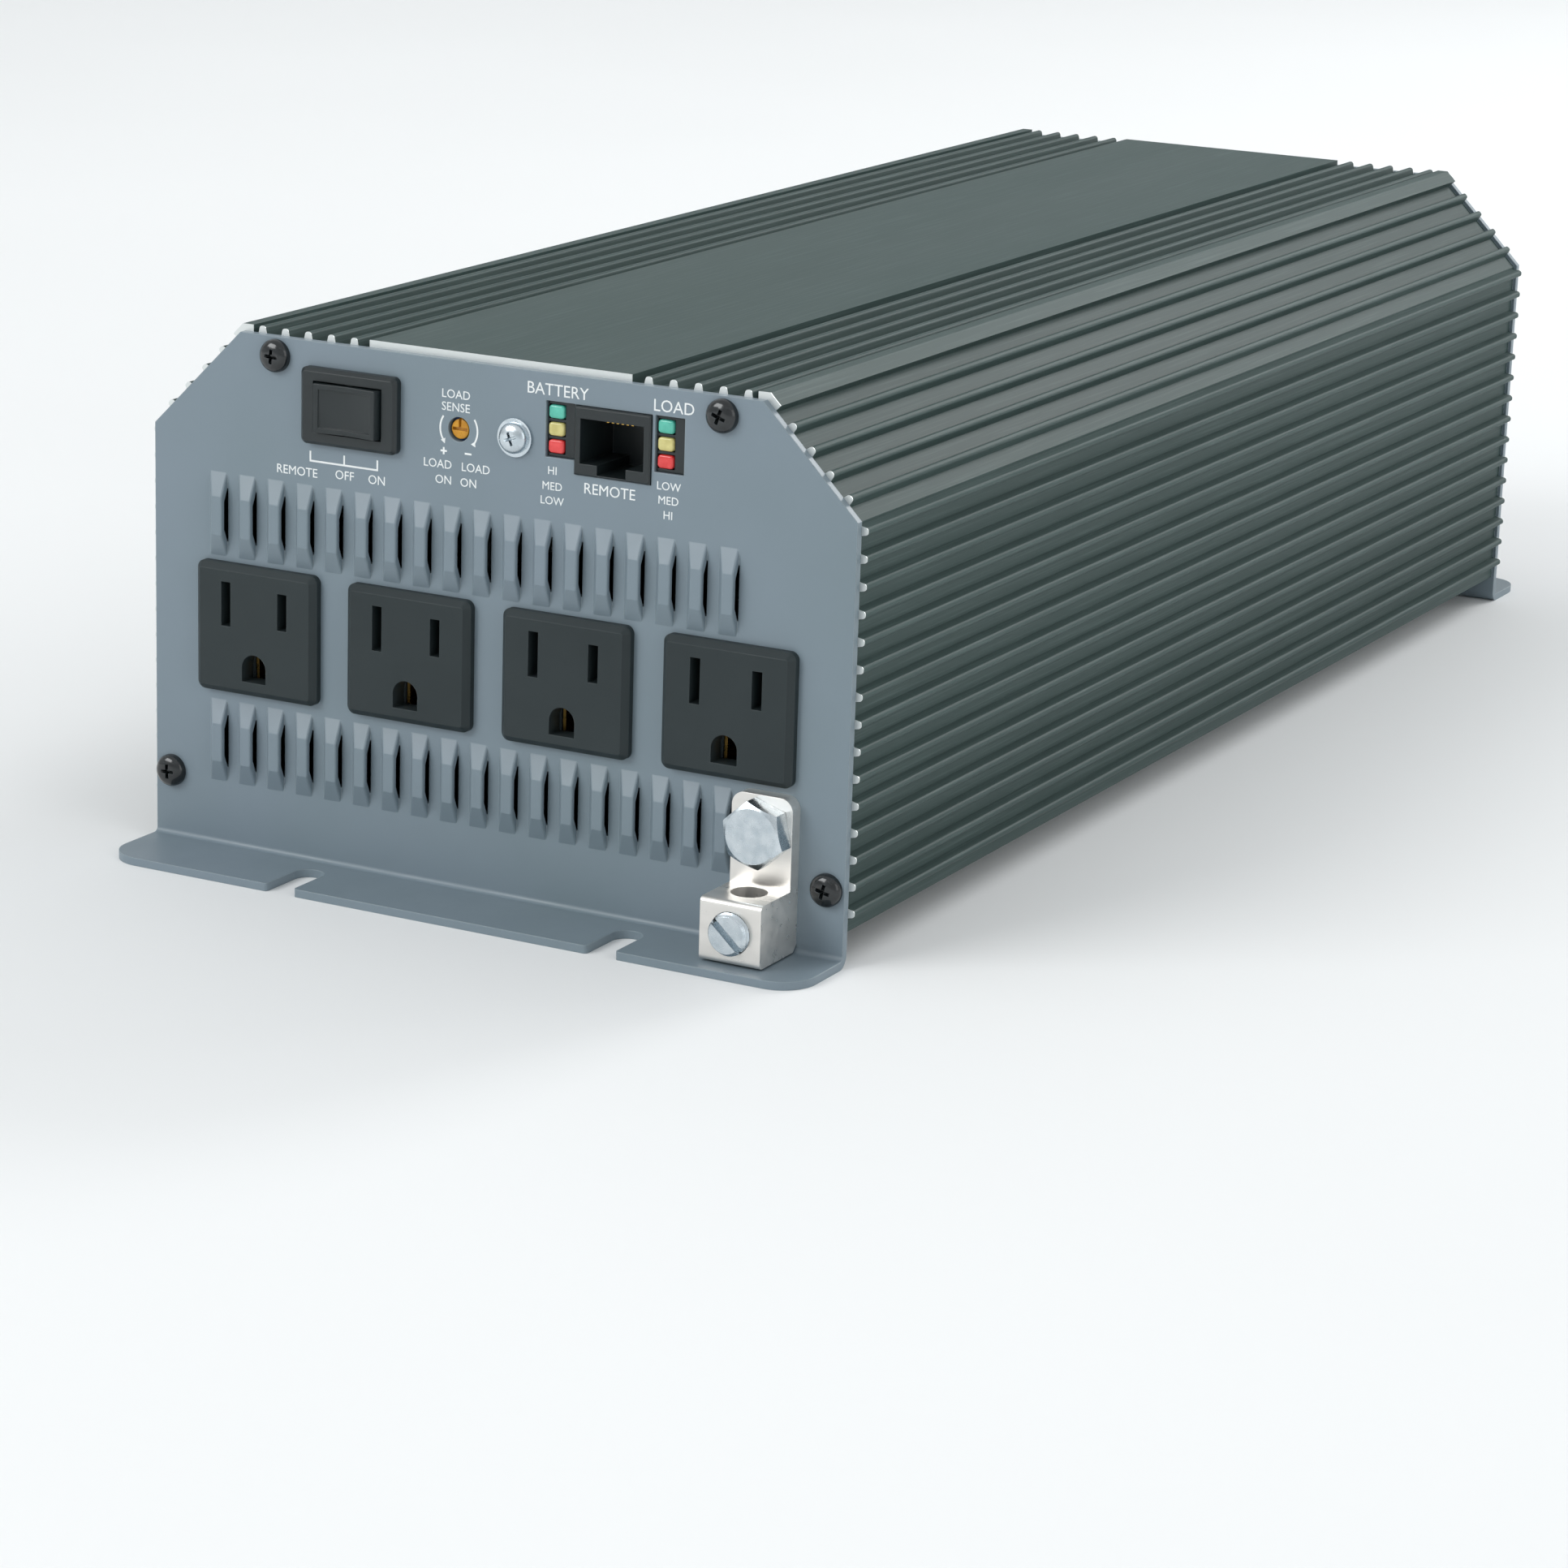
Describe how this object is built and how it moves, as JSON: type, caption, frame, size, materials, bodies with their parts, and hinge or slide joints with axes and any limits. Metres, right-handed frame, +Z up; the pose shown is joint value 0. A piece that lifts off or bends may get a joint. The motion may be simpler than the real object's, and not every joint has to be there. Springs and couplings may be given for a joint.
{
  "type": "power inverter",
  "caption": "Ribbed bevel-topped case with flanged end plates: grounded outlets, switch and ground lug at one end, guarded fan and two cable terminals at the other.",
  "frame": {"origin": "centre of the bounding box in plan, on the mounting plane under the flanges", "axes": "+Z up; the AC end with the outlets faces -Y and the DC end with the fan faces +Y; +X is to the right of someone facing the AC end"},
  "size_m": [0.1526, 0.3898, 0.1033],
  "materials": {
    "cover": "satin powder coat",
    "sheet": "satin powder coat",
    "base": "mill",
    "black_screw": "black oxide",
    "outlet": "satin",
    "brass": "stamped",
    "switch": "satin",
    "board": "solder mask",
    "steel": "zinc plated",
    "trimmer": "satin",
    "dial": "machined",
    "lamp_green": "diffused lens",
    "lamp_yellow": "diffused lens",
    "lamp_red": "diffused lens",
    "gold": "gold plated",
    "lug": "tin plated",
    "fan": "satin",
    "motor": "laminated",
    "guard": "chrome plated wire",
    "term_black": "satin",
    "term_red": "satin",
    "copper": "copper",
    "ferrite": "matt",
    "winding": "taped",
    "can": "sleeved",
    "bar": "mill",
    "chip": "matt",
    "fuse": "clear",
    "holder": "satin"
  },
  "bodies": {
    "case": {"housing_cover": "cover", "ac_end_plate": "sheet", "dc_end_plate": "sheet", "base_plate": "base", "end_plate_screws": "black_screw", "terminal_cover_screws": "black_screw", "outlet_1": "outlet", "outlet_2": "outlet", "outlet_3": "outlet", "outlet_4": "outlet", "outlet_contacts": "brass", "switch_tabs": "brass", "standoffs": "brass", "switch_body": "switch", "lamp_holders": "switch", "remote_jack": "switch", "control_board": "board", "main_board": "board", "board_bracket": "steel", "panel_screw": "steel", "ground_bolt": "steel", "ground_nut": "steel", "fan_screws": "steel", "fan_nuts": "steel", "lug_bolts": "steel", "lug_nuts": "steel", "board_screws": "steel", "trimmer_body": "trimmer", "lamps_green": "lamp_green", "lamps_yellow": "lamp_yellow", "lamps_red": "lamp_red", "jack_contacts": "gold", "ground_lug": "lug", "terminal_lug_negative": "lug", "terminal_lug_positive": "lug", "fan_frame": "fan", "fan_motor": "motor", "fan_guard": "guard", "terminal_cover_negative": "term_black", "terminal_cover_positive": "term_red", "bus_bar_negative": "copper", "bus_bar_positive": "copper", "transformer_cores": "ferrite", "output_choke": "ferrite", "transformer_windings": "winding", "input_capacitors": "can", "bus_capacitors": "can", "heat_bars": "bar", "dc_transistors": "chip", "ac_transistors": "chip", "fuses": "fuse", "fuse_holders": "holder"},
    "rocker": {"switch_rocker": "switch"},
    "dial": {"trimmer_dial": "dial"},
    "impeller": {"fan_impeller": "fan"},
    "clamp_negative": {"clamp_screw_negative": "steel"},
    "clamp_positive": {"clamp_screw_positive": "steel"},
    "clamp_ground": {"ground_clamp_screw": "steel"}
  },
  "joints": [
    {"name": "rocker_tip", "type": "hinge", "parent": "case", "child": "rocker", "pos_m": [-0.0305, -0.17792, 0.0902], "axis": [0, 0, 1], "range_deg": [-12, 12]},
    {"name": "dial_turn", "type": "hinge", "parent": "case", "child": "dial", "pos_m": [-0.0074, -0.17742, 0.08925], "axis": [0, 1, 0], "range_deg": [-135, 135]},
    {"name": "fan_spin", "type": "hinge", "parent": "case", "child": "impeller", "pos_m": [0, 0.15757, 0.0565], "axis": [0, 1, 0], "continuous": true},
    {"name": "negative_clamp", "type": "slide", "parent": "case", "child": "clamp_negative", "axis": [0, 0, 1], "range_m": [0, 0.0105]},
    {"name": "positive_clamp", "type": "slide", "parent": "case", "child": "clamp_positive", "axis": [0, 0, 1], "range_m": [0, 0.0105]},
    {"name": "ground_clamp", "type": "slide", "parent": "case", "child": "clamp_ground", "axis": [0, 1, 0], "range_m": [-0.001, 0.0034]}
  ]
}
